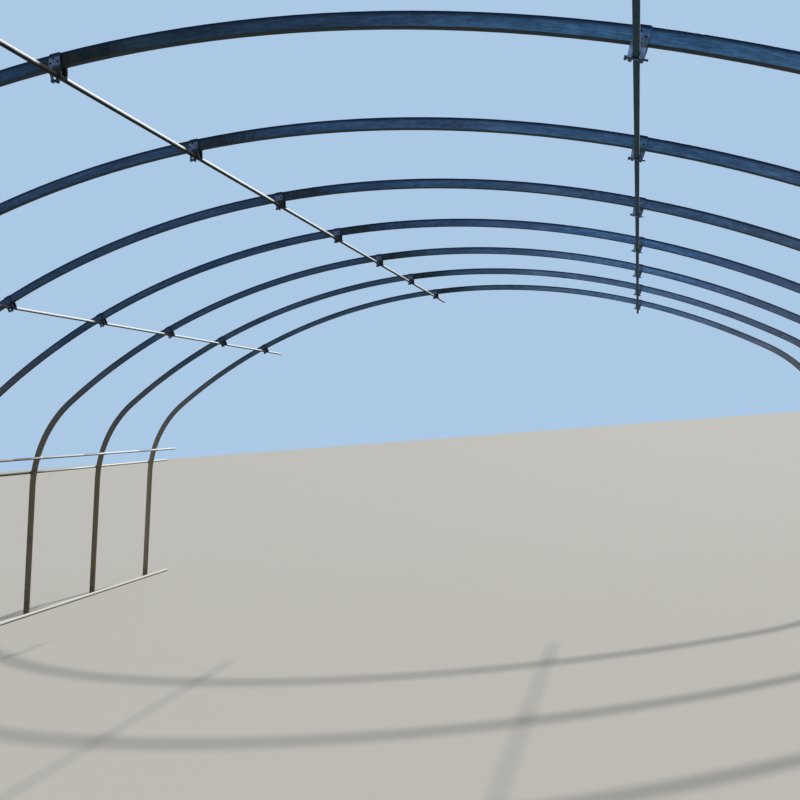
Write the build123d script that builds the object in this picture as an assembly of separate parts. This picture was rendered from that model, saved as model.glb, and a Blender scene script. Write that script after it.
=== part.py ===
from build123d import *
import math
import os

# Bare tunnel greenhouse frame, six bays long and open at both ends.
# X runs across the tunnel, Y runs along it away from the viewer and Z is up.
# The origin is on the ground, at the middle of the floor. All sizes are in mm.

# Layout of the tunnel
bay_length = 1000.0
bay_count = 6
end_overhang = 400.0

# Outline of one arch, measured on its outer edge
half_span = 4100.0
ridge_height = 3150.0
leg_lean = 7.5
leg_height = 1300.0
shoulder_radius = 1200.0

# Flat rectangular tube of the arches, whose long side stands in the arch's plane
tube_depth = 55.0
tube_width = 27.0
joint_x = 250.0

# Long tubes, drawn with this many flats
tube_flats = 12

# Purlins that hang under the arches in their clamps
purlin_diameter = 22.0
purlin_wall = 1.5
purlin_drop = 20.0
side_purlin_angle = 20.5

# Rails along the two side walls
wall_rail_diameter = 25.0
eaves_rail_height = 1620.0
ground_rail_diameter = 32.0
rail_wall = 2.0
side_rail_height = 1450.0

# Purlin clamp: a pressed saddle over the arch, whose two cheeks stand proud of the tube at half height
sheet = 2.5
cheek_depth = 8.0
cheek_tip_depth = 4.0
cheek_top = -20.0
cheek_low = -70.0
saddle_width = 56.0
saddle_top_width = 46.0
saddle_corner = 6.0
saddle_foot_width = 50.0
purlin_clearance = 0.6

# Wedge driven through between the cheeks, under the purlin
wedge_thickness = 5.0
wedge_width = 14.0
wedge_tail = 3.0
wedge_tail_width = 8.0
wedge_head_side = 35.0
wedge_tail_side = 40.0
wedge_head_length = 9.0
wedge_head_rise = 3.0
wedge_head_drop = 4.0

# Gap left where two pieces only rest against each other
seat_gap = 0.2

# Strap clips that hold the wall rails, seated clear of the shoulder's hollow face
strap_width = 20.0
strap_thickness = 2.0
strap_foot = 14.0
strap_sides = 3
strap_loop = (wall_rail_diameter / 2 + seat_gap) / math.cos(math.pi / strap_sides / 2)
strap_reach = strap_loop + strap_thickness + strap_foot
strap_seat = strap_reach**2 / (2 * (shoulder_radius - tube_depth)) + 0.05
strap_drop = strap_seat + seat_gap + wall_rail_diameter / 2

# Values that follow from the sizes above
arch_count = bay_count + 1
first_y = -bay_length * bay_count / 2
arch_stations = [first_y + bay_length * n for n in range(arch_count)]
rail_length = bay_length * bay_count + 2 * end_overhang
lean = math.radians(leg_lean)
shoulder_x = half_span - leg_height * math.tan(lean) - shoulder_radius * math.cos(lean)
shoulder_z = leg_height - shoulder_radius * math.sin(lean)
rise = shoulder_z - ridge_height
crown_radius = (shoulder_radius**2 - shoulder_x**2 - rise**2) / (2 * (rise + shoulder_radius))
crown_z = ridge_height - crown_radius
crown_angle = math.degrees(math.atan2(shoulder_x, shoulder_z - crown_z))
joint_angle = math.degrees(math.asin(joint_x / crown_radius))
purlin_n = -tube_depth - purlin_drop - purlin_diameter / 2


def crown_place(angle, y):
    """Frame on the crown arc's outer edge: X along the arch, Z straight out of it."""
    a = math.radians(angle)
    return Location((crown_radius * math.sin(a), y, crown_z + crown_radius * math.cos(a)), (0, angle, 0))


def shoulder_place(height, side, y):
    """The same kind of frame on a shoulder arc, at a given height."""
    a = math.acos((height - shoulder_z) / shoulder_radius)
    x = side * (shoulder_x + shoulder_radius * math.sin(a))
    return Location((x, y, height), (0, side * math.degrees(a), 0))


def bend_section(x, z, radius, angle):
    """Section of the arch tube on an arc round x, z, turned from the top by an angle."""
    face = Pos(x, 0, z + radius - tube_depth / 2) * (Plane.YZ * Rectangle(tube_width, tube_depth))
    return face.rotate(Axis((x, 0, z), (0, 1, 0)), angle)


def bend(x, z, radius, start, end):
    """Arch tube bent round the axis through x, z, from one angle to another."""
    section = bend_section(x, z, radius, start)
    return revolve(section, axis=Axis((x, 0, z), (0, 1, 0)), revolution_arc=end - start)


def arch_halves():
    """Left and right part of an arch, which meet in the joint beside the ridge."""
    wall_angle = 90 - leg_lean
    shoulder = bend(shoulder_x, shoulder_z, shoulder_radius, crown_angle, wall_angle)
    leg_end = bend_section(shoulder_x, shoulder_z, shoulder_radius, wall_angle)
    leg = extrude(leg_end, amount=leg_height + tube_depth, dir=(math.sin(lean), 0, -math.cos(lean)))
    ground = Pos(0, 0, -tube_depth) * Box(4 * half_span, 4 * tube_width, 2 * tube_depth)
    wall = shoulder + leg - ground
    left = bend(0, crown_z, crown_radius, -crown_angle, joint_angle) + mirror(wall, about=Plane.YZ)
    right = bend(0, crown_z, crown_radius, joint_angle, crown_angle) + wall
    return left, right


def tube(diameter, wall, x, z):
    """Tube along the whole tunnel, centred on x, z, with one flat at its top."""
    flat_turn = 180 / tube_flats
    ring = RegularPolygon(diameter / 2, tube_flats, rotation=flat_turn)
    ring -= RegularPolygon(diameter / 2 - wall, tube_flats, rotation=flat_turn)
    return Pos(x, 0, z) * extrude(Plane.XZ * ring, amount=rail_length / 2, both=True)


def saddle():
    """Pressed clamp saddle, in the frame of crown_place, cut from its front view and its end view."""
    outer = tube_width / 2 + cheek_depth
    top_outer = tube_width / 2 + sheet
    tip_outer = tube_width / 2 + cheek_tip_depth
    notch = purlin_diameter / 2 + purlin_clearance
    foot = purlin_n - purlin_diameter / 2 - wedge_thickness - 2 * seat_gap - sheet
    half = saddle_width / 2
    top = saddle_top_width / 2
    end = saddle_foot_width / 2
    slant = notch * math.tan(math.pi / 8)
    right = [(top, sheet), (half, sheet - saddle_corner), (half, -tube_depth), (end, foot),
             (notch, foot), (notch, purlin_n + slant), (slant, purlin_n + notch)]
    outline = right + [(-x, n) for x, n in reversed(right)]
    blank = extrude(Plane.XZ * Polygon(*outline, align=None), amount=outer, both=True)
    bulge = [(top_outer, sheet), (outer, cheek_top), (outer, cheek_low), (tip_outer, foot)]
    bulge += [(-y, n) for y, n in reversed(bulge)]
    blank &= extrude(Plane.YZ * Polygon(*bulge, align=None), amount=saddle_width, both=True)
    length = sheet - foot
    channel = Pos(0, 0, -length) * Box(2 * saddle_width, tube_width, 2 * length)
    floor_x = (end + notch) / 2
    floor = Pos(0, 0, foot + sheet / 2) * Box(end - notch, tube_width, sheet)
    return blank - channel + Pos(-floor_x, 0, 0) * floor + Pos(floor_x, 0, 0) * floor


def wedge():
    """Wedge under the purlin with a thick head, tapered in height and in width."""
    top = purlin_n - purlin_diameter / 2 - seat_gap
    low = top - wedge_thickness
    head = -wedge_head_side
    neck = head + wedge_head_length
    tail = wedge_tail_side
    side_view = [(head, top + wedge_head_rise), (neck, top), (tail, top), (tail, top - wedge_tail),
                 (neck, low), (neck, low - wedge_head_drop), (head, low - wedge_head_drop)]
    wide = wedge_width / 2
    narrow = wedge_tail_width / 2
    plan = [(head, wide), (neck, wide), (tail, narrow), (tail, -narrow), (neck, -wide), (head, -wide)]
    bar = extrude(Plane.XZ * Polygon(*side_view, align=None), amount=wide, both=True)
    return bar & extrude(Plane.XY * Polygon(*plan, align=None), amount=2 * tube_depth, both=True)


def strap():
    """Strap round a wall rail: feet on the plane Z = 0, and a bent loop with few sides below it."""
    centre = -strap_drop
    wide = strap_loop + strap_thickness

    def loop(radius):
        angles = [math.pi * (1 + n / strap_sides) for n in range(strap_sides + 1)]
        return [(radius * math.cos(a), centre + radius * math.sin(a)) for a in angles]

    low = -strap_seat - strap_thickness
    inside = [(-strap_reach, -strap_seat), (-strap_loop, -strap_seat)] + loop(strap_loop)
    inside += [(strap_loop, -strap_seat), (strap_reach, -strap_seat)]
    outside = [(strap_reach, low), (wide, low)] + list(reversed(loop(wide))) + [(-wide, low), (-strap_reach, low)]
    return extrude(Plane.XZ * Polygon(*inside, *outside, align=None), amount=strap_width / 2, both=True)


def wall_rail(side, height, outside):
    """Rail on the inner or outer face of the shoulders, with its straps."""
    angle = math.acos((height - shoulder_z) / shoulder_radius)
    reach = shoulder_radius - tube_depth - strap_drop
    face = Pos(0, 0, -tube_depth)
    if outside:
        reach = shoulder_radius + strap_drop
        face = Rot(0, 180, 0)
    x = side * (shoulder_x + reach * math.sin(angle))
    z = shoulder_z + reach * math.cos(angle)
    rail = tube(wall_rail_diameter, rail_wall, x, z)
    straps = [shoulder_place(height, side, y) * face * strap_solid for y in arch_stations]
    return rail, Compound(children=straps)


def save(name, shape):
    shape.label = name
    export_step(shape, os.path.join("parts", name + ".step"))


os.makedirs("parts", exist_ok=True)

left_half, right_half = arch_halves()
for n, y in enumerate(arch_stations):
    save("arch_%d_left" % (n + 1), Pos(0, y, 0) * left_half)
    save("arch_%d_right" % (n + 1), Pos(0, y, 0) * right_half)

purlin_reach = crown_radius + purlin_n
saddle_solid = saddle()
wedge_solid = wedge()
for name, angle in (("left", -side_purlin_angle), ("ridge", 0.0), ("right", side_purlin_angle)):
    a = math.radians(angle)
    purlin = tube(purlin_diameter, purlin_wall, purlin_reach * math.sin(a), crown_z + purlin_reach * math.cos(a))
    save(name + "_purlin", purlin)
    places = [crown_place(angle, y) for y in arch_stations]
    save(name + "_purlin_saddles", Compound(children=[place * saddle_solid for place in places]))
    save(name + "_purlin_wedges", Compound(children=[place * wedge_solid for place in places]))

strap_solid = strap()
ground_r = ground_rail_diameter / 2
ground_x = half_span - (tube_depth + ground_r + seat_gap) / math.cos(lean) - ground_r * math.tan(lean)
for name, side in (("left", -1), ("right", 1)):
    rail, straps = wall_rail(side, eaves_rail_height, False)
    save(name + "_eaves_rail", rail)
    save(name + "_eaves_straps", straps)
    rail, straps = wall_rail(side, side_rail_height, True)
    save(name + "_side_rail", rail)
    save(name + "_side_straps", straps)
    save(name + "_ground_rail", tube(ground_rail_diameter, rail_wall, side * ground_x, ground_r))
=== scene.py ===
# %% [markdown]
# # A bare tunnel greenhouse frame
# The object is the steel frame of a tunnel greenhouse before its film goes on: seven arches
# of flat rectangular tube, three purlins that hang under them in wedge clamps, and rails along
# the walls and the ground. The solid model gives every place and size, and this script only adds
# what a solid model lacks, which is smooth bends, pressed sheet, screws and weathered zinc.

# %% Load the solid model as a fixed frame
import math

import bmesh
import bpy
from mathutils import Matrix, Vector


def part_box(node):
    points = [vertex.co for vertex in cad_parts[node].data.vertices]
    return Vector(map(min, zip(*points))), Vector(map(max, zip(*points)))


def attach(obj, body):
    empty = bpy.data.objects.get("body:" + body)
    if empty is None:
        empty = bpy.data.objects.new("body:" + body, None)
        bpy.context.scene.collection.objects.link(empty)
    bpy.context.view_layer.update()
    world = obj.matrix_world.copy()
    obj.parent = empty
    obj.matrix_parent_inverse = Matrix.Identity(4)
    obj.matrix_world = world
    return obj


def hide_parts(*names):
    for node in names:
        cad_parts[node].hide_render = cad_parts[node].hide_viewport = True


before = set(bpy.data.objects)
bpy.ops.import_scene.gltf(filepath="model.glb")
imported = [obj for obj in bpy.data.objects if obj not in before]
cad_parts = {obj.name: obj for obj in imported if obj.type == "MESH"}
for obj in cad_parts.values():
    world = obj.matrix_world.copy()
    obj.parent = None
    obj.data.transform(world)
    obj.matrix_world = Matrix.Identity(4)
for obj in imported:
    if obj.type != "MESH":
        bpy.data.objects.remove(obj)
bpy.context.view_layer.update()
arch_names = sorted(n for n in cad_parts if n.startswith("arch_") and n.endswith("_left"))
stations = []
for name in arch_names:
    low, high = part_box(name)
    stations.append(round((low.y + high.y) / 2, 4))
print("arches stand at y =", stations)

# %% [markdown]
# ## The camera
# The camera stands inside the tunnel, a little right of the ridge, at the height of a
# person's chest, and looks up and to the left. Its place comes from a fit of the arches,
# clamps and leg feet to the picture, so the same frame falls on the same pixels. It is set
# first, because every later choice of detail depends on what it sees from near.

# %% Set up the camera
frame_pixels, focal_pixels = 800, 778.0
sensor_width, view_end = 36, 200
eye = Vector((2.066, -5.523, 1.549))
yaw, pitch, roll = -0.2945, 0.0437, -0.0786
ahead = Vector((math.sin(yaw) * math.cos(pitch), math.cos(yaw) * math.cos(pitch), math.sin(pitch)))
level = Vector((math.cos(yaw), -math.sin(yaw), 0))
upright = level.cross(ahead)
right = math.cos(roll) * level + math.sin(roll) * upright
up = math.cos(roll) * upright - math.sin(roll) * level

camera_data = bpy.data.cameras.new("camera")
camera_data.sensor_width = sensor_width
camera_data.lens = focal_pixels / frame_pixels * sensor_width
camera_data.clip_end = view_end
camera = bpy.data.objects.new("camera", camera_data)
bpy.context.scene.collection.objects.link(camera)
turn = Matrix((right, up, -ahead)).transposed()
camera.matrix_world = Matrix.Translation(eye) @ turn.to_4x4()
bpy.context.scene.camera = camera
print("lens", round(camera_data.lens, 2), "mm")

# %% [markdown]
# ## The stage
# A plain floor and a pale, even background show a frame of thin tubes best. The background
# is what the camera and the zinc see, while the light that falls on the frame is a weaker,
# even glow. A soft sun stands beyond the far end and a little to the right, where a fit of
# the shadows on the ground puts the real one: it whitens the tops of the purlins, leaves the
# near faces of the arches in shade, and grazes the inner side of the left legs. A wider and
# weaker one on the right fills in. Suns light a floor of any size evenly, which area lamps
# don't.

# %% Lay the floor
bpy.ops.object.select_all(action="DESELECT")
floor_half = 150
bpy.ops.mesh.primitive_plane_add(size=2 * floor_half, location=(0, 0, 0))
floor = bpy.context.active_object
floor.name = "floor"

floor_paint = bpy.data.materials.new("floor_paint")
floor_paint.use_nodes = True
floor_shader = floor_paint.node_tree.nodes["Principled BSDF"]
floor_shader.inputs["Base Color"].default_value = (0.6, 0.565, 0.51, 1)
floor_shader.inputs["Roughness"].default_value = 0.9
floor_shader.inputs["Specular IOR Level"].default_value = 0.1
floor.data.materials.append(floor_paint)
print("floor", 2 * floor_half, "m wide")

# %% Hang the backdrop
scene = bpy.context.scene
scene.view_settings.view_transform = "Standard"
world = bpy.data.worlds.new("plain_sky")
world.use_nodes = True
scene.world = world
sky = world.node_tree
sky.nodes.clear()
light_path = sky.nodes.new("ShaderNodeLightPath")
seen = light_path.outputs["Is Camera Ray"]
for ray in ("Is Glossy Ray", "Is Transmission Ray"):
    either_ray = sky.nodes.new("ShaderNodeMath")
    either_ray.operation = "MAXIMUM"
    sky.links.new(seen, either_ray.inputs[0])
    sky.links.new(light_path.outputs[ray], either_ray.inputs[1])
    seen = either_ray.outputs[0]
glow = sky.nodes.new("ShaderNodeBackground")
glow.inputs["Color"].default_value = (0.85, 0.93, 1.0, 1)
glow.inputs["Strength"].default_value = 0.4
backdrop = sky.nodes.new("ShaderNodeBackground")
backdrop.inputs["Color"].default_value = (0.41, 0.58, 0.79, 1)
backdrop.inputs["Strength"].default_value = 1.0
sky_mix = sky.nodes.new("ShaderNodeMixShader")
sky.links.new(seen, sky_mix.inputs["Fac"])
sky.links.new(glow.outputs[0], sky_mix.inputs[1])
sky.links.new(backdrop.outputs[0], sky_mix.inputs[2])
sky_output = sky.nodes.new("ShaderNodeOutputWorld")
sky.links.new(sky_mix.outputs[0], sky_output.inputs["Surface"])
print("backdrop", tuple(round(v, 2) for v in backdrop.inputs["Color"].default_value[:3]))

# %% Hang the lights
lamp_distance = 12


def hang_sun(name, energy, width, toward, colour):
    """A sun lamp that shines from a direction; its width in degrees softens its shadows."""
    data = bpy.data.lights.new(name, "SUN")
    data.angle = math.radians(width)
    data.energy = energy
    data.color = colour
    lamp = bpy.data.objects.new(name, data)
    lamp.location = lamp_distance * Vector(toward)
    lamp.rotation_euler = (-Vector(toward)).to_track_quat("-Z", "Y").to_euler()
    scene.collection.objects.link(lamp)


hang_sun("soft_sun", energy=2.2, width=1.5, toward=(0.3, 1.25, 1.0), colour=(1.0, 0.98, 0.94))
hang_sun("side_fill", energy=0.45, width=25, toward=(0.9, 0.2, 0.7), colour=(0.97, 0.99, 1.0))
print("lamps", [lamp.name for lamp in bpy.data.lights])

# %% [markdown]
# ## Small helpers for hand modelling
# Every piece below is made as it would be by hand: add a primitive, go into edit mode, pick
# some of its mesh, and run an operator on the pick. Blender's operators act on all that is
# selected, so one helper clears the selection and picks by place, and another extrudes the
# pick. The last helper puts a finished piece on the frame and hides the solids it stands for.

# %% Define the helpers
def begin(name):
    """Names the primitive just added, moves its place into its mesh and opens it."""
    piece = bpy.context.active_object
    piece.name = name
    piece.data.name = name
    bpy.ops.object.transform_apply(location=True, rotation=True, scale=True)
    bpy.ops.object.mode_set(mode="EDIT")
    return piece


def pick(piece, test, kind="VERT"):
    """Selects what has all of its corners in a place that passes the test."""
    bpy.ops.mesh.select_mode(type=kind)
    bpy.ops.mesh.select_all(action="DESELECT")
    mesh = bmesh.from_edit_mesh(piece.data)
    groups = {"VERT": mesh.verts, "EDGE": mesh.edges, "FACE": mesh.faces}
    for part in groups[kind]:
        corners = [part.co] if kind == "VERT" else [v.co for v in part.verts]
        if all(test(c) for c in corners):
            part.select_set(True)
    mesh.select_flush_mode()
    bmesh.update_edit_mesh(piece.data)


def pull(x, y, z):
    """Extrudes what is selected by a step, and leaves the new part selected."""
    bpy.ops.mesh.extrude_region_move(TRANSFORM_OT_translate={"value": (x, y, z)})


def close_edit(piece, angle=35):
    """Turns all faces outwards, leaves edit mode and smooths the gentle edges."""
    bpy.ops.mesh.select_all(action="SELECT")
    bpy.ops.mesh.normals_make_consistent(inside=False)
    bpy.ops.object.mode_set(mode="OBJECT")
    bpy.ops.object.shade_smooth_by_angle(angle=math.radians(angle))
    return piece


def only(piece):
    """Makes one piece the selected and active one."""
    bpy.ops.object.select_all(action="DESELECT")
    piece.select_set(True)
    bpy.context.view_layer.objects.active = piece


def bake_modifiers(piece):
    """Applies every modifier of a piece, from the first to the last."""
    only(piece)
    for modifier in list(piece.modifiers):
        bpy.ops.object.modifier_apply(modifier=modifier.name)


def twin(piece, name, place):
    """Copies a piece with its own mesh and puts the copy's mesh in its place."""
    copy = piece.copy()
    copy.data = piece.data.copy()
    copy.name = name
    copy.data.name = name
    scene.collection.objects.link(copy)
    copy.data.transform(place)
    return copy


def merge(pieces, name):
    """Joins several copies into one piece."""
    only(pieces[0])
    for piece in pieces:
        piece.select_set(True)
    bpy.ops.object.join()
    joined = bpy.context.active_object
    joined.name = name
    joined.data.name = name
    return joined


def discard(piece):
    """Removes a pattern piece once its copies are made."""
    mesh = piece.data
    bpy.data.objects.remove(piece)
    bpy.data.meshes.remove(mesh)


def fit_out(piece, material, slot, *nodes):
    """Gives a piece its finish and puts it on the frame in the place of its solids."""
    piece.data.materials.clear()
    piece.data.materials.append(material)
    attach(piece, "root")
    if nodes:
        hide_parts(*nodes)
    return piece


print("helpers ready")

# %% [markdown]
# ## Weathered zinc
# All of the frame is galvanised steel, but no two parts of it look alike. The arches have
# gone slate blue with brown blotches by the joint, the legs carry dust, the purlins are
# still bright, and the clamps are a fresher zinc. One recipe serves them all: a crystal
# pattern from Voronoi cells, clouds and runs from noise, and a thin bump from the runs. The
# recipe is a function whose arguments are the colours and the size of each effect, and
# three small helpers before it add nodes, make colour ramps and mix colours.

# %% Define the node helpers
def add(tree, kind, **settings):
    """Adds a node, setting its properties and, by their names, its sockets."""
    node = tree.nodes.new(kind)
    for key, value in settings.items():
        if hasattr(node, key):
            setattr(node, key, value)
        else:
            node.inputs[key.replace("_", " ")].default_value = value
    return node


def ramp(tree, source, stops):
    """Maps a grey source to colours; stops are pairs of a position and a colour or a grey."""
    node = tree.nodes.new("ShaderNodeValToRGB")
    elements = node.color_ramp.elements
    while len(elements) < len(stops):
        elements.new(0.5)
    for element, (position, colour) in zip(elements, stops):
        element.position = position
        grey = isinstance(colour, (int, float))
        element.color = (colour, colour, colour, 1) if grey else (*colour, 1)
    tree.links.new(source, node.inputs["Fac"])
    return node.outputs["Color"]


def blend(tree, factor, under, over, mode="MIX"):
    """Lays one colour over another by a factor."""
    node = tree.nodes.new("ShaderNodeMix")
    node.data_type = "RGBA"
    node.blend_type = mode
    for socket, value in (("Factor_Float", factor), ("A_Color", under), ("B_Color", over)):
        target = next(s for s in node.inputs if s.identifier == socket)
        if isinstance(value, bpy.types.NodeSocket):
            tree.links.new(value, target)
        else:
            target.default_value = value
    return next(s for s in node.outputs if s.identifier == "Result_Color")


print("node helpers ready")

# %% Write the recipe for zinc
def zinc(name, dull, mid, bright, stretch=(1, 1, 1), along=None,
         metal=0.75, rough=(0.42, 0.62), crystal=70):
    """Galvanised steel: clouds, runs along the tube and a crystal pattern."""
    material = bpy.data.materials.new(name)
    material.use_nodes = True
    tree = material.node_tree
    shader = tree.nodes["Principled BSDF"]
    shader.inputs["Metallic"].default_value = metal
    if along:
        place = add(tree, "ShaderNodeAttribute", attribute_name=along).outputs["Vector"]
    else:
        place = add(tree, "ShaderNodeTexCoord").outputs["Object"]
    stretched = add(tree, "ShaderNodeMapping", Scale=stretch)
    tree.links.new(place, stretched.inputs["Vector"])

    clouds = add(tree, "ShaderNodeTexNoise", Scale=9.0, Detail=5.0, Roughness=0.6)
    tree.links.new(stretched.outputs[0], clouds.inputs["Vector"])
    runs = add(tree, "ShaderNodeTexNoise", Scale=60.0, Detail=3.0, Roughness=0.65)
    tree.links.new(stretched.outputs[0], runs.inputs["Vector"])
    cells = add(tree, "ShaderNodeTexVoronoi", Scale=crystal)
    tree.links.new(place, cells.inputs["Vector"])
    cell_grey = add(tree, "ShaderNodeSeparateColor")
    tree.links.new(cells.outputs["Color"], cell_grey.inputs[0])

    colour = ramp(tree, clouds.outputs["Fac"], [(0.32, dull), (0.52, mid), (0.72, bright)])
    streak = ramp(tree, runs.outputs["Fac"], [(0.35, 0.62), (0.65, 1.3)])
    colour = blend(tree, 0.8, colour, streak, "MULTIPLY")
    spangle = ramp(tree, cell_grey.outputs[0], [(0.0, 0.82), (1.0, 1.12)])
    colour = blend(tree, 0.7, colour, spangle, "MULTIPLY")

    sheen = add(tree, "ShaderNodeMapRange", To_Min=rough[0], To_Max=rough[1])
    tree.links.new(clouds.outputs["Fac"], sheen.inputs["Value"])
    tree.links.new(sheen.outputs[0], shader.inputs["Roughness"])
    bump = add(tree, "ShaderNodeBump", Strength=0.25, Distance=0.0006)
    tree.links.new(runs.outputs["Fac"], bump.inputs["Height"])
    tree.links.new(bump.outputs[0], shader.inputs["Normal"])
    tree.links.new(colour, shader.inputs["Base Color"])
    return material, colour, place


print("zinc recipe ready")

# %% [markdown]
# ## Slate zinc of the arches
# Up in the roof the flat faces of the arches are a dark slate blue, and a painted reflection of
# the sky makes them brighter to the right and on the far arches. Past the ridge, round the joint
# of the two halves, they are blotched brown and black, and the first arch is darkest there. A
# navy line of painted shade runs along the upper edge of the flat faces, the underside is a
# darker grey of painted shade with stains over it, and down the legs the zinc is brown with dust.
# Each effect is a mask over the zinc, from the place along the arch, the place across the
# tube, or the height. The places are an attribute in the mesh, so that the runs and edges
# follow the bend, and the tones along an arch are a ramp with a few stops.

# %% Define the masks
def split(tree, vector):
    """The three parts of a place or a direction."""
    node = add(tree, "ShaderNodeSeparateXYZ")
    tree.links.new(vector, node.inputs[0])
    return node.outputs


def frame_parts(tree):
    """The parts of a place in the frame's own axes."""
    return split(tree, add(tree, "ShaderNodeTexCoord").outputs["Object"])


def mask(tree, source, low, high, strength=1.0):
    """A mask that runs from 0 at one value, such as a place in metres, to its strength at another."""
    node = add(tree, "ShaderNodeMapRange", From_Min=low, From_Max=high, To_Min=0.0, To_Max=strength)
    tree.links.new(source, node.inputs["Value"])
    return node.outputs[0]


def noise(tree, place, scale, detail, low, high):
    """A noise pattern, stretched in contrast between two levels."""
    node = add(tree, "ShaderNodeTexNoise", Scale=scale, Detail=detail, Roughness=0.65)
    tree.links.new(place, node.inputs["Vector"])
    return mask(tree, node.outputs["Fac"], low, high)


def times(tree, one, other):
    """Multiplies two colours or masks."""
    return blend(tree, 1.0, one, other, "MULTIPLY")


def to_arch(tree, y):
    """How far a place along the tunnel is from the middle of the nearest arch."""
    node = add(tree, "ShaderNodeMath", operation="PINGPONG")
    node.inputs[1].default_value = (stations[1] - stations[0]) / 2
    tree.links.new(y, node.inputs[0])
    return node.outputs[0]


print("masks ready")

# %% Tone the arch steel from end to end
arch_metal = 0.6
arch_paint, colour, place = zinc(
    "slate_zinc", (0.03, 0.063, 0.12), (0.043, 0.088, 0.165), (0.061, 0.124, 0.228),
    stretch=(0.3, 1, 3), along="tube_place", metal=arch_metal, rough=(0.42, 0.6), crystal=55)
tree = arch_paint.node_tree
along, station, out = split(tree, place)
roof_half = 3.0
# The rise of these tones to the right is a painted reflection of the sky; the brown dip by the joint goes
# with its blotches.
roof_tones = [
    (-3.0, (1.0, 1.0, 0.9)), (-0.15, (1.15, 1.1, 1.05)), (0.1, (0.62, 0.5, 0.36)),
    (0.28, (0.85, 0.8, 0.7)), (0.5, (1.1, 1.15, 1.15)), (1.3, (1.75, 1.6, 1.5)),
    (1.9, (1.85, 1.8, 1.7)), (3.0, (1.85, 1.8, 1.75))]
stops = [(0.5 + at / (2 * roof_half), tone) for at, tone in roof_tones]
colour = times(tree, colour, ramp(tree, mask(tree, along, -roof_half, roof_half), stops))
print(len(stops), "tones over", 2 * roof_half, "m of roof")

# %% Tone the arches one by one
# The far arches are made brighter, which is a painted reflection of the sky.
near_to_far = mask(tree, station, stations[0], stations[-1])
right_tone = times(tree, colour, ramp(tree, near_to_far, [
    (0.0, (1.0, 1.18, 1.15)), (0.17, (1.0, 1.05, 1.05)), (0.33, (1.05, 1.0, 0.95)),
    (0.5, (1.25, 1.25, 1.35)), (0.67, (1.6, 1.5, 1.5)), (0.84, (1.9, 1.6, 1.45)),
    (1.0, (1.9, 1.6, 1.4))]))
far_half = mask(tree, station, 0.0, stations[-1])
left_tone = times(tree, colour, ramp(tree, far_half, [
    (0.0, (1.0, 1.0, 1.0)), (1.0, (1.35, 1.2, 0.97))]))
colour = blend(tree, mask(tree, along, 0.6, 1.8), left_tone, right_tone)

first_arch = mask(tree, station, -2.4, -2.6)
first_part = times(tree, first_arch, mask(tree, along, 2.3, 1.5))
first_tones = ramp(tree, mask(tree, along, -0.2, 1.4), [
    (0.0, (0.7, 0.82, 0.85)), (0.14, (0.42, 0.45, 0.36)), (0.28, (0.42, 0.45, 0.36)),
    (0.35, (0.78, 0.85, 0.6)), (0.46, (0.48, 0.46, 0.4)), (1.0, (0.66, 0.64, 0.66))])
colour = blend(tree, first_part, colour, times(tree, colour, first_tones))
print("arches toned")

# %% Blotch the joint and paint shade on the edges
near_joint = ramp(tree, mask(tree, along, -0.1, 0.9), [
    (0.0, 0.0), (0.13, 0.95), (0.32, 0.75), (0.52, 0.0)])
blotches = times(tree, near_joint, noise(tree, place, scale=26.0, detail=6.0, low=0.45, high=0.6))
colour = blend(tree, blotches, colour, (0.032, 0.027, 0.019, 1))
black_spots = times(tree, near_joint, noise(tree, place, scale=60.0, detail=3.0, low=0.56, high=0.64))
colour = blend(tree, black_spots, colour, (0.012, 0.016, 0.02, 1))

# The navy line along the upper edge of the flat faces is painted shade.
navy_shade = (0.0015, 0.012, 0.05, 1)
flat_face = mask(tree, to_arch(tree, station), 0.0108, 0.0128)
shaded_top_edge = times(tree, flat_face, mask(tree, out, -0.018, -0.006, 0.96))
colour = blend(tree, shaded_top_edge, colour, navy_shade)
# The darker grey of the underside is painted shade, with stains laid over it below.
underside = mask(tree, out, -0.0525, -0.0543)
colour = blend(tree, underside, colour, (0.019, 0.032, 0.04, 1))
stained = times(tree, underside, noise(tree, place, scale=20.0, detail=4.0, low=0.4, high=0.6))
colour = blend(tree, stained, colour, (0.025, 0.028, 0.028, 1))
print("edges darkened")

# %% Define how a paint is finished
def larger(tree, one, other):
    """The larger of two masks."""
    node = add(tree, "ShaderNodeMath", operation="MAXIMUM")
    tree.links.new(one, node.inputs[0])
    tree.links.new(other, node.inputs[1])
    return node.outputs[0]


def repaint(material, colour):
    """Puts another colour in front of a material's shader."""
    tree = material.node_tree
    tree.links.new(colour, tree.nodes["Principled BSDF"].inputs["Base Color"])


def dulled(material, where, metal, rougher):
    """Takes the metal and the shine out of a material where a mask says so."""
    tree = material.node_tree
    shader = tree.nodes["Principled BSDF"]
    shader.inputs["Specular IOR Level"].default_value = 0.15
    metal_left = add(tree, "ShaderNodeMapRange", To_Min=metal, To_Max=0.0)
    tree.links.new(where, metal_left.inputs["Value"])
    tree.links.new(metal_left.outputs[0], shader.inputs["Metallic"])
    rough = add(tree, "ShaderNodeMath", operation="MULTIPLY_ADD")
    rough.inputs[1].default_value = rougher
    sheen = shader.inputs["Roughness"].links[0].from_socket
    tree.links.new(where, rough.inputs[0])
    tree.links.new(sheen, rough.inputs[2])
    tree.links.new(rough.outputs[0], shader.inputs["Roughness"])


print("finishing helpers ready")

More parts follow.
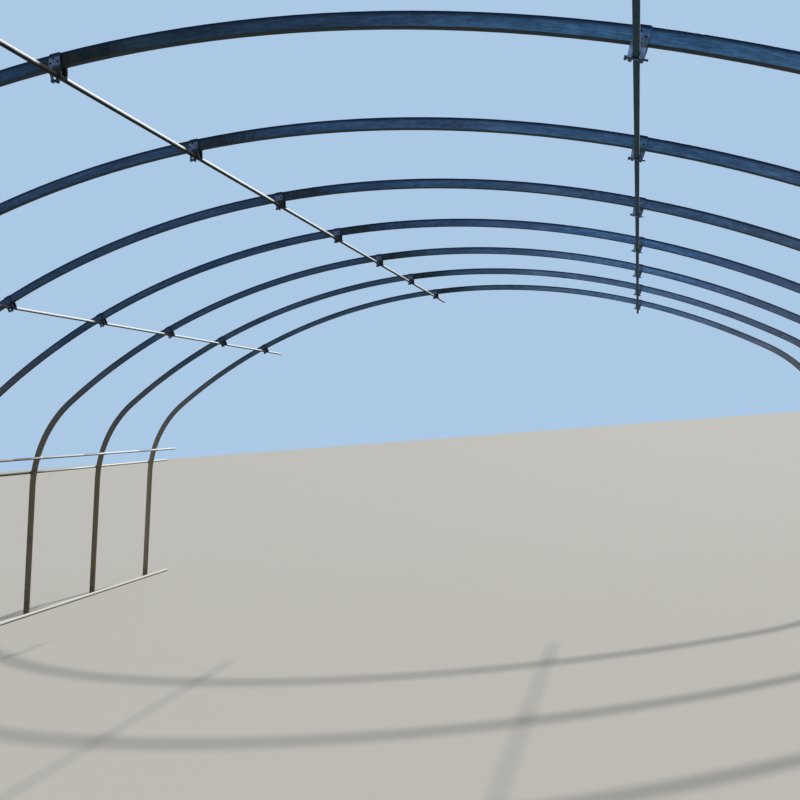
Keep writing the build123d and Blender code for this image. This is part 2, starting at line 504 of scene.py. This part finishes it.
# %% Dust the legs
height = frame_parts(tree)["Z"]
dust_fall = mask(tree, height, 2.6, 1.45, 0.95)
dust_mask = times(tree, dust_fall, noise(tree, place, scale=14.0, detail=5.0, low=0.12, high=0.5))
last_arch = mask(tree, station, 2.2, 2.8)
face_dust = blend(tree, last_arch, (0.172, 0.125, 0.07, 1), (0.26, 0.2, 0.125, 1))
dust = blend(tree, underside, face_dust, (0.15, 0.122, 0.075, 1))
colour = blend(tree, dust_mask, colour, dust)
splash_fall = mask(tree, height, 0.35, 0.02)
splashes = times(tree, splash_fall, noise(tree, place, scale=45.0, detail=5.0, low=0.42, high=0.55))
colour = blend(tree, splashes, colour, (0.1, 0.07, 0.04, 1))
repaint(arch_paint, colour)
dulled(arch_paint, larger(tree, underside, shaded_top_edge), metal=arch_metal, rougher=0.2)
print("arch paint ready")

# %% [markdown]
# ## The arches
# Each arch is two lengths of flat rectangular tube, bent to a low crown, a tight shoulder and
# a leaning leg, and joined a hand's width right of the ridge. A swept curve could give this
# too, but spinning one section about the centre of each bend is how the tube is bent, and
# it gives clean rings. The section is a plane whose four corners are rounded by a bevel.

# %% Measure the arch
tube_depth, tube_width, tube_corner = 0.055, 0.027, 0.0035
ridge_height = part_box("arch_1_left")[1].z
half_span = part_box("arch_1_right")[1].x
leg_lean = math.radians(7.5)
leg_height, shoulder_radius, joint_x = 1.3, 1.2, 0.25
shoulder_x = half_span - leg_height * math.tan(leg_lean) - shoulder_radius * math.cos(leg_lean)
shoulder_z = leg_height - shoulder_radius * math.sin(leg_lean)
rise = shoulder_z - ridge_height
crown_radius = (shoulder_radius**2 - shoulder_x**2 - rise**2) / (2 * (rise + shoulder_radius))
crown_z = ridge_height - crown_radius
crown_angle = math.atan2(shoulder_x, shoulder_z - crown_z)
wall_angle = math.pi / 2 - leg_lean
joint_angle = math.asin(joint_x / crown_radius)
print("crown radius", round(crown_radius, 3), "crown angle", round(math.degrees(crown_angle), 2))


# %% Bend one half of an arch
corner_segments, shoulder_steps = 4, 22
seam_bevel, below_ground = 0.0012, 0.05
hair = 1e-5  # two points nearer than this count as one


def bend_half(name, side, crown_steps):
    """Half an arch at y = 0, spun from the joint down to the ground."""
    bpy.ops.object.select_all(action="DESELECT")
    bpy.ops.mesh.primitive_plane_add(size=1)
    bpy.context.active_object.scale = (tube_depth, tube_width, 1)
    piece = begin(name)
    bpy.ops.mesh.select_all(action="SELECT")
    bpy.ops.mesh.bevel(affect="VERTICES", offset=tube_corner, segments=corner_segments)
    bpy.ops.mesh.delete(type="ONLY_FACE")
    bpy.ops.object.mode_set(mode="OBJECT")
    middle = crown_radius - tube_depth / 2
    joint = Vector((middle * math.sin(joint_angle), 0, crown_z + middle * math.cos(joint_angle)))
    turn = Matrix.Rotation(math.pi / 2 + joint_angle, 4, "Y")
    piece.matrix_world = Matrix.Translation(joint) @ turn
    bpy.ops.object.transform_apply(location=True, rotation=True, scale=True)
    bpy.ops.object.mode_set(mode="EDIT")
    bpy.ops.mesh.select_all(action="SELECT")
    bpy.ops.mesh.spin(steps=crown_steps, angle=crown_angle - side * joint_angle,
                      center=(0, 0, crown_z), axis=(0, -side, 0))
    bpy.ops.mesh.spin(steps=shoulder_steps, angle=wall_angle - crown_angle,
                      center=(side * shoulder_x, 0, shoulder_z), axis=(0, -side, 0))
    fall = leg_height + below_ground
    pull(side * fall * math.tan(leg_lean), 0, -fall)
    bpy.ops.mesh.select_all(action="SELECT")
    bpy.ops.mesh.bisect(plane_co=(0, 0, 0), plane_no=(0, 0, 1), use_fill=True, clear_inner=True)
    across_joint = Vector((math.cos(joint_angle), 0, -math.sin(joint_angle)))

    def in_joint(corner):
        return abs((corner - joint).dot(across_joint)) < hair

    pick(piece, in_joint, "EDGE")
    bpy.ops.mesh.edge_face_add()
    pick(piece, in_joint, "EDGE")
    bpy.ops.mesh.bevel(offset=seam_bevel, segments=2)
    return close_edit(piece)


left_pattern = bend_half("left_pattern", -1, crown_steps=34)
right_pattern = bend_half("right_pattern", 1, crown_steps=30)
for pattern in (left_pattern, right_pattern):
    low = min(v.co.z for v in pattern.data.vertices)
    far = max(abs(v.co.x) for v in pattern.data.vertices)
    print(pattern.name, len(pattern.data.polygons), "faces, lowest at", round(low, 4),
          "and reaching", round(far, 3), "m from the middle")


# %% Write each point's place in the unbent tube
def lay_out_tube(piece, side):
    """Writes each point's place in the unbent tube: along it, across the tunnel and outwards."""
    places = piece.data.attributes.new("tube_place", "FLOAT_VECTOR", "POINT")
    crown_length = crown_radius * crown_angle
    for vertex, place in zip(piece.data.vertices, places.data):
        x, y, z = side * vertex.co.x, vertex.co.y, vertex.co.z
        angle = math.atan2(x, z - crown_z)
        if angle <= crown_angle:
            along = crown_radius * angle
            out = math.hypot(x, z - crown_z) - crown_radius
        elif z > shoulder_z and math.atan2(x - shoulder_x, z - shoulder_z) < wall_angle:
            angle = math.atan2(x - shoulder_x, z - shoulder_z)
            along = crown_length + shoulder_radius * (angle - crown_angle)
            out = math.hypot(x - shoulder_x, z - shoulder_z) - shoulder_radius
        else:
            along = crown_length + shoulder_radius * (wall_angle - crown_angle)
            along += (leg_height - z) / math.cos(leg_lean)
            out = (x - half_span) * math.cos(leg_lean) + z * math.sin(leg_lean)
        place.vector = (side * along, y, out)


lay_out_tube(left_pattern, -1)
lay_out_tube(right_pattern, 1)
print("both halves laid out")

# %% Stand the seven arches
for number, y in enumerate(stations, 1):
    for word, pattern in (("left", left_pattern), ("right", right_pattern)):
        node = "arch_%d_%s" % (number, word)
        arch = twin(pattern, "bent_" + node, Matrix.Translation((0, y, 0)))
        for place in arch.data.attributes["tube_place"].data:
            place.vector.y += y
        fit_out(arch, arch_paint, "arch_steel", node)
discard(left_pattern)
discard(right_pattern)
print(len(stations), "arches stand")

# %% [markdown]
# ## Bright zinc of the purlins and rails
# The round tubes are younger than the arches and still shine. Their tops and sides carry an
# almost white painted highlight. Underneath they carry painted shade, nearly black, and bluer
# on the right purlin. The facing of the surface gives the mask, and noise frays its edge. Just
# before each arch the other purlins are darkened for a hand's width, partly a painted shadow of
# the arch and partly stains, and one stretch of the rails on the left wall carries painted shade
# all round. The rails on the ground have the same painted highlight and shade on a browner and
# duller zinc.

# %% Define how a tube gets its painted highlight and shade
def facing_parts(tree):
    """The parts of the outward direction of a surface in the frame's own axes."""
    return split(tree, add(tree, "ShaderNodeNewGeometry").outputs["Normal"])


def scaled_sum(tree, value, share, rest):
    """A share of one value, added to another."""
    node = add(tree, "ShaderNodeMath", operation="MULTIPLY_ADD")
    node.inputs[1].default_value = share
    tree.links.new(value, node.inputs[0])
    tree.links.new(rest, node.inputs[2])
    return node.outputs[0]


def paint_light_and_shade(material, colour, place, top_highlight, under_shade, top_share, metal):
    """Paints a highlight on the upper side of a tube and shade on its underside, which it also makes
    dull.
    """
    tree = material.node_tree
    facing = facing_parts(tree)
    fray = noise(tree, place, scale=25.0, detail=4.0, low=0.2, high=0.8)
    level = scaled_sum(tree, fray, 0.2, facing["Z"])
    level = scaled_sum(tree, facing["X"], 0.25, level)
    # The upper side gets a painted highlight, lighter towards the right side too, and the underside
    # painted shade.
    colour = blend(tree, mask(tree, level, -0.1, 0.15, top_share), colour, (*top_highlight, 1))
    under_shade_mask = mask(tree, level, -0.09, -0.22, 0.985)
    colour = blend(tree, under_shade_mask, colour, under_shade)
    repaint(material, colour)
    dulled(material, under_shade_mask, metal, rougher=0.4)
    return colour


print("tubes can weather")

# %% Paint the round tubes
tube_paint, colour, place = zinc(
    "bright_zinc", (0.4, 0.42, 0.44), (0.55, 0.57, 0.59), (0.72, 0.73, 0.74),
    stretch=(3, 0.12, 3), rough=(0.45, 0.6), crystal=120)
tree = tube_paint.node_tree
across, lengthwise, height = split(tree, place)
on_right = mask(tree, across, 0.5, 1.5)
under_shade = blend(tree, on_right, (0.005, 0.012, 0.015, 1), (0.016, 0.046, 0.068, 1))
# Painted highlight on top and painted shade underneath, bluer on the right purlin.
colour = paint_light_and_shade(tube_paint, colour, place, top_highlight=(0.88, 0.88, 0.86), under_shade=under_shade,
                 top_share=0.92, metal=0.12)
print("tubes chalked above and blackened below")

# %% Paint the arches' shadow and stains on the tubes at the clamps
# Just before each arch the purlins get a painted shadow of the arch, mixed with stains.
shadow_stain_reach, shadow_stain_fade = 0.055, 0.03
shifted = add(tree, "ShaderNodeMath", operation="ADD")
shifted.inputs[1].default_value = shadow_stain_reach
tree.links.new(lengthwise, shifted.inputs[0])
from_shadow_stain = to_arch(tree, shifted.outputs[0])
before_clamp = mask(tree, from_shadow_stain, shadow_stain_reach + shadow_stain_fade, shadow_stain_reach, 0.92)
shadow_stain = times(tree, mask(tree, height, 2.0, 2.1), before_clamp)
shadow_stain = times(tree, shadow_stain, mask(tree, on_right, 1.0, 0.0))
shadow_stain_tone = ramp(tree, noise(tree, place, scale=60.0, detail=4.0, low=0.35, high=0.65), [
    (0.0, (0.01, 0.014, 0.013)), (1.0, (0.026, 0.023, 0.017))])
colour = blend(tree, shadow_stain, colour, shadow_stain_tone)
print("stains", round(1000 * shadow_stain_reach), "mm long")

# %% Paint shade on one stretch of the rails
# One stretch of the left wall rails gets painted shade all round, darker on the lower rail.
stretch_mask = ramp(tree, mask(tree, lengthwise, -0.2, 1.8), [
    (0.0, 0.0), (0.2, 1.0), (0.6, 1.0), (0.72, 0.5), (0.85, 0.45), (0.95, 0.0)])
shaded_stretch = times(tree, stretch_mask, mask(tree, across, -3.6, -3.8))
low_rail = mask(tree, height, 1.58, 1.5)
stretch_shade = blend(tree, low_rail, (0.4, 0.4, 0.36, 1), (0.12, 0.14, 0.11, 1))
repaint(tube_paint, blend(tree, shaded_stretch, colour, times(tree, colour, stretch_shade)))
print("tube paint ready")

# %% Paint the ground rails
ground_paint, colour, place = zinc(
    "dusty_zinc", (0.36, 0.33, 0.28), (0.5, 0.47, 0.4), (0.68, 0.65, 0.58),
    stretch=(2, 0.5, 2), metal=0.25, rough=(0.45, 0.7), crystal=90)
# The same painted highlight above and painted shade below.
paint_light_and_shade(ground_paint, colour, place, top_highlight=(0.8, 0.77, 0.7), under_shade=(0.05, 0.042, 0.032, 1),
        top_share=0.8, metal=0.1)
print("ground rail paint ready")

# %% [markdown]
# ## The round tubes
# A purlin or a rail is one round tube with open ends. A cylinder primitive would be closed,
# so the tube starts as a disc at its near end, is inset by the thickness of the wall, loses
# the inner face and is then extruded over its whole length.

# %% Draw the tubes
purlin_diameter, purlin_wall = 0.022, 0.0015
wall_rail_diameter, ground_rail_diameter, rail_wall = 0.025, 0.032, 0.002
round_sides = 32


def draw_tube(node, diameter, wall, paint, slot):
    """Round open tube along the tunnel in the place of a solid."""
    low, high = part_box(node)
    x = (low.x + high.x) / 2
    z = (low.z + high.z) / 2
    bpy.ops.object.select_all(action="DESELECT")
    bpy.ops.mesh.primitive_circle_add(vertices=round_sides, radius=diameter / 2, fill_type="NGON",
                                      location=(x, low.y, z), rotation=(math.pi / 2, 0, 0))
    piece = begin("round_" + node)
    bpy.ops.mesh.select_mode(type="FACE")
    bpy.ops.mesh.select_all(action="SELECT")
    bpy.ops.mesh.inset(thickness=wall)
    bpy.ops.mesh.delete(type="FACE")
    bpy.ops.mesh.select_all(action="SELECT")
    pull(0, high.y - low.y, 0)
    pick(piece, lambda c: c.y < low.y + hair or c.y > high.y - hair, "FACE")
    bpy.ops.mesh.bevel(offset=wall / 4, segments=1)
    close_edit(piece)
    return fit_out(piece, paint, slot, node)


for node in ("left_purlin", "ridge_purlin", "right_purlin"):
    draw_tube(node, purlin_diameter, purlin_wall, tube_paint, "rail_steel")
for side in ("left", "right"):
    draw_tube(side + "_eaves_rail", wall_rail_diameter, rail_wall, tube_paint, "rail_steel")
    draw_tube(side + "_side_rail", wall_rail_diameter, rail_wall, tube_paint, "rail_steel")
    draw_tube(side + "_ground_rail", ground_rail_diameter, rail_wall, ground_paint, "ground_rail_steel")
print("nine tubes drawn")

# %% [markdown]
# ## The purlin clamps
# Where a purlin crosses an arch, a pressed saddle sits over the arch. Its two cheeks stand
# proud of the tube, carry three round holes and end in a notch for the purlin. It could be
# folded from a flat sheet, but cutting it from a block with boolean cutters keeps the sheet
# even at every bend: the block is the outside, and the cutters take out the room inside.

# %% Size the clamp
sheet, floor_thick = 0.0025, 0.0014
cheek_depth, tip_depth = 0.008, 0.004
cheek_top, cheek_low, top_rise = -0.02, -0.07, 0.0016
half_tube, half_width, foot_half = tube_width / 2, 0.0265, 0.0245
purlin_radius, purlin_drop = purlin_diameter / 2, 0.02
purlin_low = -tube_depth - purlin_drop - 2 * purlin_radius
purlin_middle = purlin_low + purlin_radius
wedge_thick, wedge_play, purlin_play = 0.005, 0.0002, 0.0006
saddle_foot = purlin_low - wedge_thick - 2 * wedge_play - floor_thick
print("the clamp reaches", round(-1000 * saddle_foot, 1), "mm down from the top of the arch")

# %% Define the cutters
through = 0.05  # half the length of a cutter that goes through from side to side


def add_block(name, low, high):
    """A box between two corners, opened for editing."""
    bpy.ops.object.select_all(action="DESELECT")
    low, high = Vector(low), Vector(high)
    bpy.ops.mesh.primitive_cube_add(size=1, location=(low + high) / 2)
    bpy.context.active_object.scale = high - low
    return begin(name)


def add_bulged(name, half_x, levels):
    """A block that swells and thins along its height; levels pair a height with a half depth."""
    heights = [n for n, half_y in levels]
    deepest = max(half_y for n, half_y in levels)
    block = add_block(name, (-half_x, -deepest, min(heights)), (half_x, deepest, max(heights)))
    for height in heights[1:-1]:
        bpy.ops.mesh.select_all(action="SELECT")
        bpy.ops.mesh.bisect(plane_co=(0, 0, height), plane_no=(0, 0, 1))
    for height, half_y in levels:
        pick(block, lambda c: abs(c.z - height) < hair)
        bpy.ops.transform.resize(value=(1, half_y / deepest, 1), center_override=(0, 0, height))
    return block


def cut(piece, cutter):
    """Takes a cutter's shape out of a piece and throws the cutter away."""
    if cutter.mode == "EDIT":
        bpy.ops.object.mode_set(mode="OBJECT")
    only(piece)
    knife = piece.modifiers.new("cut", "BOOLEAN")
    knife.operation = "DIFFERENCE"
    knife.solver = "EXACT"
    knife.object = cutter
    bpy.ops.object.modifier_apply(modifier=knife.name)
    discard(cutter)


def add_pin(name, x, z, radius):
    """A round pin through a clamp, along the tunnel."""
    bpy.ops.object.select_all(action="DESELECT")
    bpy.ops.mesh.primitive_cylinder_add(vertices=24, radius=radius, depth=2 * through,
                                        location=(x, 0, z), rotation=(math.pi / 2, 0, 0))
    return begin(name)


print("cutters ready")

# %% Press one saddle
top_corner, foot_corner = 0.007, 0.0045
saddle = add_bulged("saddle", half_width, [
    (saddle_foot, half_tube + tip_depth), (cheek_low, half_tube + cheek_depth),
    (cheek_top, half_tube + cheek_depth), (top_rise, half_tube + sheet)])
pick(saddle, lambda c: c.z < saddle_foot + hair)
bpy.ops.transform.resize(value=(foot_half / half_width, 1, 1), center_override=(0, 0, saddle_foot))
for sign in (-1, 1):
    pick(saddle, lambda c: c.z > top_rise - hair and sign * c.x > half_width - hair, "EDGE")
    bpy.ops.mesh.bevel(offset=top_corner, segments=4)
    pick(saddle, lambda c: c.z < saddle_foot + hair and sign * c.x > foot_half - hair, "EDGE")
    bpy.ops.mesh.bevel(offset=foot_corner, segments=3)
close_edit(saddle)
print("saddle block", tuple(round(d, 4) for d in saddle.dimensions))

# %% Cut the room for the arch, the purlin and the wedge
notch_radius, under_foot = purlin_radius + purlin_play, 0.01
cut(saddle, add_block("room", (-through, -half_tube, saddle_foot + floor_thick), (through, half_tube, 0)))
cut(saddle, add_block("gap", (-notch_radius, -through, saddle_foot - under_foot),
                      (notch_radius, through, purlin_middle)))
cut(saddle, add_pin("purlin_cut", 0, purlin_middle, notch_radius))
print("notch", round(2000 * notch_radius, 1), "mm wide")

# %% Hollow the cheeks and punch the holes
pan_rim, pan_low, pan_top = 0.0045, saddle_foot + 0.004, -0.008
pan_depth = half_tube + cheek_depth - sheet
cut(saddle, add_bulged("pan", half_width - pan_rim, [
    (pan_low, half_tube + tip_depth - sheet), (cheek_low, pan_depth),
    (cheek_top, pan_depth), (pan_top, half_tube + sheet)]))
hole_radius = 0.0048
for x, z in ((-0.004, -0.0215), (0.0165, -0.0375), (-0.0185, -0.0385)):
    cut(saddle, add_pin("hole", x, z, hole_radius))
print("hollowed saddle", len(saddle.data.polygons), "faces")

# %% Round the edges of the saddle
rounding = saddle.modifiers.new("rounding", "BEVEL")
rounding.width = 0.0007
rounding.segments = 2
rounding.limit_method = "ANGLE"
rounding.angle_limit = math.radians(50)
bake_modifiers(saddle)
bpy.ops.object.shade_smooth_by_angle(angle=math.radians(40))
print("saddle", len(saddle.data.polygons), "faces")

# %% [markdown]
# ## The wedges
# A wedge is driven between the cheeks, under the purlin, until nothing rattles. It is a
# tapered bar with a thick head, where the hammer struck it, and it sticks out on both sides
# of the clamp.

# %% Forge one wedge
wedge_top = purlin_low - wedge_play
wedge_low = wedge_top - wedge_thick
wedge_wide, wedge_narrow, tail_rise = 0.007, 0.0052, 0.0012
head, neck, tail = -0.035, -0.026, 0.04
flare_length, flare_drop, flare, burr, soft_edge = 0.002, 0.0003, 2.1, 1.1, 0.0009
wedge = add_block("wedge", (neck, -wedge_wide, wedge_low), (tail, wedge_wide, wedge_top))
pick(wedge, lambda c: c.x > 0)
bpy.ops.transform.resize(value=(1, wedge_narrow / wedge_wide, 1), center_override=(tail, 0, 0))
pick(wedge, lambda c: c.x > 0 and c.z < wedge_top - hair)
bpy.ops.transform.translate(value=(0, 0, tail_rise))
pick(wedge, lambda c: c.x < 0, "FACE")
pull(-flare_length, 0, -flare_drop)
bpy.ops.transform.resize(value=(1, 1, flare))
pull(head - neck + flare_length, 0, 0)
bpy.ops.transform.resize(value=(1, 1, burr))
bpy.ops.mesh.select_mode(type="EDGE")
bpy.ops.mesh.select_all(action="SELECT")
bpy.ops.mesh.bevel(offset=soft_edge, segments=2)
close_edit(wedge)
print("wedge", len(wedge.data.polygons), "faces", tuple(round(d, 4) for d in wedge.dimensions))

# %% [markdown]
# ## Zinc of the clamps
# The three rows of clamps are lit differently, and their row tones are painted light and shade:
# those on the left are dark, those on the ridge a cool grey, and those on the right the brightest.
# The right ones have a band of painted shadow across their middle, under the arch, and past the
# first arch their prongs are duller too. On all of them the cheeks get darker towards the top and
# end in the same navy of painted shade as the arches, while the bend over the arch has a painted
# highlight. The tone of each row is chosen by its place across the tunnel, so one material serves
# all three, and the wedges are a plain dark blue.

# %% Write each point's place in its clamp
for pattern in (saddle, wedge):
    places = pattern.data.attributes.new("clamp_place", "FLOAT_VECTOR", "POINT")
    for vertex, place in zip(pattern.data.vertices, places.data):
        place.vector = vertex.co
    print(pattern.name, len(places.data), "places")

# %% Tone the plates and the prongs by row
clamp_metal = 0.35
clamp_paint, colour, place = zinc(
    "clamp_zinc", (0.062, 0.08, 0.135), (0.095, 0.122, 0.198), (0.15, 0.187, 0.29),
    along="clamp_place", metal=clamp_metal, rough=(0.35, 0.55), crystal=220)
tree = clamp_paint.node_tree
clamp_parts, row_parts = split(tree, place), frame_parts(tree)
out = clamp_parts["Z"]
left_prong = mask(tree, clamp_parts["X"], -0.009, -0.012)
right_row = mask(tree, row_parts["X"], 0.5, 1.5)
left_row = mask(tree, row_parts["X"], -0.5, -1.5)
past_first = mask(tree, row_parts["Y"], -2.6, -2.4)


def by_row(left, ridge, right):
    """A colour for each of the three rows of clamps."""
    return blend(tree, right_row, blend(tree, left_row, (*ridge, 1), (*left, 1)), (*right, 1))


# Each row's and prong's tone is painted light and shade, for how that row is lit.
plate = times(tree, colour, by_row((0.5, 0.7, 0.8), (1.3, 1.4, 1.35), (1.35, 1.85, 2.0)))
prong_tone = blend(tree, left_prong, by_row((0.2, 0.25, 0.25), (0.25, 0.3, 0.22), (2.4, 3.0, 3.1)),
                   by_row((0.25, 0.3, 0.3), (0.6, 1.0, 1.1), (2.4, 3.0, 3.1)))
far_tone = blend(tree, left_prong, (1.05, 1.25, 1.2, 1), (1.9, 2.3, 2.3, 1))
prong_tone = blend(tree, times(tree, right_row, past_first), prong_tone, far_tone)
colour = blend(tree, mask(tree, out, -0.046, -0.058), plate, times(tree, colour, prong_tone))
print("three rows toned")

# %% Paint shade across the middle and on the upper edge
# A band of painted shadow under the arch, on the right row only.
under_arch_shade = ramp(tree, mask(tree, out, -0.074, -0.032), [
    (0.0, (1.0, 1.0, 1.0)), (0.12, (0.45, 0.42, 0.3)), (0.38, (0.35, 0.35, 0.25)),
    (0.52, (0.62, 0.62, 0.52)), (0.76, (0.62, 0.62, 0.55)), (0.93, (1.0, 1.0, 1.0))])
colour = blend(tree, right_row, colour, times(tree, colour, under_arch_shade))
upper_tone = by_row((0.035, 0.065, 0.12), (0.09, 0.135, 0.23), (0.045, 0.11, 0.22))
colour = blend(tree, mask(tree, out, -0.034, -0.022, 0.8), colour, upper_tone)
# The navy upper edge is painted shade, as on the arches.
thick_edge = mask(tree, out, -0.021, -0.013, 0.94)
thin_edge = mask(tree, out, -0.014, -0.008, 0.94)
shaded_top_edge = blend(tree, right_row, thick_edge, thin_edge)
colour = blend(tree, shaded_top_edge, colour, navy_shade)
print("upper edges darkened")

# %% Shade the sides and paint a highlight on the bend
facing = facing_parts(tree)
sideways = add(tree, "ShaderNodeMath", operation="ABSOLUTE")
tree.links.new(facing["X"], sideways.inputs[0])
side_shade = mask(tree, sideways.outputs[0], 0.6, 0.85, 0.9)
side_shade = times(tree, side_shade, mask(tree, right_row, 1.3, 0.0))
shaded = larger(tree, side_shade, mask(tree, facing["Z"], -0.45, -0.7, 0.92))
colour = blend(tree, shaded, colour, (0.011, 0.015, 0.019, 1))
# The up-facing bend gets a painted highlight.
colour = blend(tree, mask(tree, facing["Z"], 0.75, 0.9, 0.85), colour, (0.78, 0.79, 0.8, 1))
repaint(clamp_paint, colour)
dulled(clamp_paint, larger(tree, shaded, shaded_top_edge), metal=clamp_metal, rougher=0.2)
wedge_paint = zinc(
    "wedge_zinc", (0.006, 0.024, 0.06), (0.012, 0.043, 0.1), (0.025, 0.075, 0.16),
    along="clamp_place", metal=clamp_metal, rough=(0.35, 0.55), crystal=220)[0]
print("clamp and wedge paints ready")


# %% Place the clamps
def crown_place(angle, y):
    """Frame on the outside of an arch's crown, with X along the arch and Z out of it."""
    at = (crown_radius * math.sin(angle), y, crown_z + crown_radius * math.cos(angle))
    return Matrix.Translation(at) @ Matrix.Rotation(angle, 4, "Y")


side_angle = math.radians(20.5)
for word, angle in (("left", -side_angle), ("ridge", 0.0), ("right", side_angle)):
    for pattern, kind, paint, slot in ((saddle, "saddles", clamp_paint, "clamp_steel"),
                                       (wedge, "wedges", wedge_paint, "wedge_steel")):
        node = "%s_purlin_%s" % (word, kind)
        copies = [twin(pattern, "%s_%d" % (node, number), crown_place(angle, y))
                  for number, y in enumerate(stations)]
        fit_out(merge(copies, "pressed_" + node), paint, slot, node)
discard(saddle)
discard(wedge)
print("21 clamps placed")

# %% [markdown]
# ## The strap clips
# The wall rails are held by short straps, bent round the rail and screwed to the arch
# through two feet. A strap starts as a ring round the rail. The part above the feet is
# deleted, the loose ends are extruded outwards as feet, the line becomes a band, and
# Solidify gives the band its thickness.

# %% Size the strap
rail_radius = wall_rail_diameter / 2
strap_gap, strap_thick, strap_foot, strap_width = 0.0002, 0.002, 0.014, 0.02
strap_loop = (rail_radius + strap_gap) / math.cos(math.pi / 6)
strap_reach = strap_loop + strap_thick + strap_foot
seat_spare, loop_spare = 0.00005, 0.0008
strap_seat = strap_reach**2 / (2 * (shoulder_radius - tube_depth)) + seat_spare
loop_middle = -strap_seat - strap_gap - rail_radius
loop_radius = rail_radius + loop_spare
print("the feet reach", round(1000 * strap_reach, 1), "mm to each side")

# %% Bend one strap
bpy.ops.object.select_all(action="DESELECT")
bpy.ops.mesh.primitive_circle_add(vertices=round_sides, radius=loop_radius, rotation=(math.pi / 2, 0, 0),
                                  location=(0, -strap_width / 2, loop_middle))
strap = begin("strap")
pick(strap, lambda c: c.z > loop_middle + hair)
bpy.ops.mesh.delete(type="VERT")
neck_spread, foot_bend = 0.0006, 0.002
neck_rise = -strap_seat - loop_middle - foot_bend
foot_run = strap_reach - loop_radius - neck_spread - foot_bend
for sign in (-1, 1):
    pick(strap, lambda c: sign * c.x > loop_radius - hair and c.z > loop_middle - hair)
    pull(sign * neck_spread, 0, neck_rise)
    pull(sign * foot_bend, 0, foot_bend)
    pull(sign * foot_run, 0, 0)
bpy.ops.mesh.select_all(action="SELECT")
pull(0, strap_width, 0)
bpy.ops.mesh.select_all(action="SELECT")
bpy.ops.mesh.normals_make_consistent(inside=False)
bpy.ops.object.mode_set(mode="OBJECT")
print("band", len(strap.data.polygons), "faces")

# %% Give the strap its thickness
foot_faces = [p for p in strap.data.polygons if abs(p.center.x) > strap_reach - strap_foot]
print("foot faces point", [round(p.normal.z) for p in foot_faces])
thick = strap.modifiers.new("thick", "SOLIDIFY")
thick.thickness = strap_thick
thick.offset = -1 if foot_faces[0].normal.z > 0 else 1
soft = strap.modifiers.new("soft", "BEVEL")
soft.width = 0.0004
soft.segments = 1
soft.limit_method = "ANGLE"
bake_modifiers(strap)
bpy.ops.object.shade_smooth_by_angle(angle=math.radians(40))
print("strap", len(strap.data.polygons), "faces", tuple(round(d, 4) for d in strap.dimensions))

# %% [markdown]
# ## Zinc of the straps and screws
# The straps are as pale as the rails they hold, with a painted highlight on the upper side and
# painted shade below, and the screws are a darker grey. A screw is a washer with a round head,
# inset and pulled out of one face.

# %% Paint the straps and screws
strap_paint, colour, place = zinc(
    "strap_zinc", (0.3, 0.31, 0.32), (0.45, 0.46, 0.47), (0.62, 0.63, 0.64),
    metal=0.35, rough=(0.35, 0.5), crystal=200)
# Painted highlight above and painted shade below, as on the rails.
paint_light_and_shade(strap_paint, colour, place, top_highlight=(0.75, 0.75, 0.73), under_shade=(0.06, 0.055, 0.045, 1),
        top_share=0.8, metal=0.2)
screw_paint = zinc(
    "screw_zinc", (0.12, 0.11, 0.1), (0.2, 0.19, 0.18), (0.34, 0.33, 0.32),
    metal=0.5, rough=(0.35, 0.5), crystal=300)[0]
print("strap and screw paints ready")

# %% Make one screw
washer_radius, washer_thick = 0.0052, 0.001
head_inset, head_height, head_taper = 0.0012, 0.0032, 0.94
bpy.ops.object.select_all(action="DESELECT")
bpy.ops.mesh.primitive_cylinder_add(vertices=18, radius=washer_radius, depth=washer_thick,
                                    location=(0, 0, -washer_thick / 2))
screw = begin("screw")
pick(screw, lambda c: c.z < -washer_thick + hair, "FACE")
bpy.ops.mesh.inset(thickness=head_inset)
pull(0, 0, -head_height)
bpy.ops.transform.resize(value=(head_taper, head_taper, 1))
close_edit(screw, 30)
print("screw", len(screw.data.polygons), "faces")


# %% Place the straps and screws
def shoulder_place(height, side, y):
    """Frame on the outside of a shoulder, with X along the arch and Z out of it."""
    angle = math.acos((height - shoulder_z) / shoulder_radius)
    at = (side * (shoulder_x + shoulder_radius * math.sin(angle)), y, height)
    return Matrix.Translation(at) @ Matrix.Rotation(side * angle, 4, "Y")


inside_face = Matrix.Translation((0, 0, -tube_depth))
outside_face = Matrix.Rotation(math.pi, 4, "Y")
screw_x = strap_reach - strap_foot / 2
eaves_height, side_height = 1.62, 1.45
for word, side in (("left", -1), ("right", 1)):
    for row, height, face in (("eaves", eaves_height, inside_face), ("side", side_height, outside_face)):
        node = "%s_%s_straps" % (word, row)
        bands, heads = [], []
        for number, y in enumerate(stations):
            place = shoulder_place(height, side, y) @ face
            bands.append(twin(strap, "%s_%d" % (node, number), place))
            for sign in (-1, 1):
                seat = place @ Matrix.Translation((sign * screw_x, 0, -strap_seat - strap_thick))
                heads.append(twin(screw, "%s_head_%d_%d" % (node, number, sign), seat))
        fit_out(merge(bands, "bent_" + node), strap_paint, "clamp_steel", node)
        fit_out(merge(heads, "%s_%s_screws" % (word, row)), screw_paint, "wedge_steel")
discard(strap)
discard(screw)
print("28 straps placed")

# %% Update the scene
bpy.context.view_layer.update()
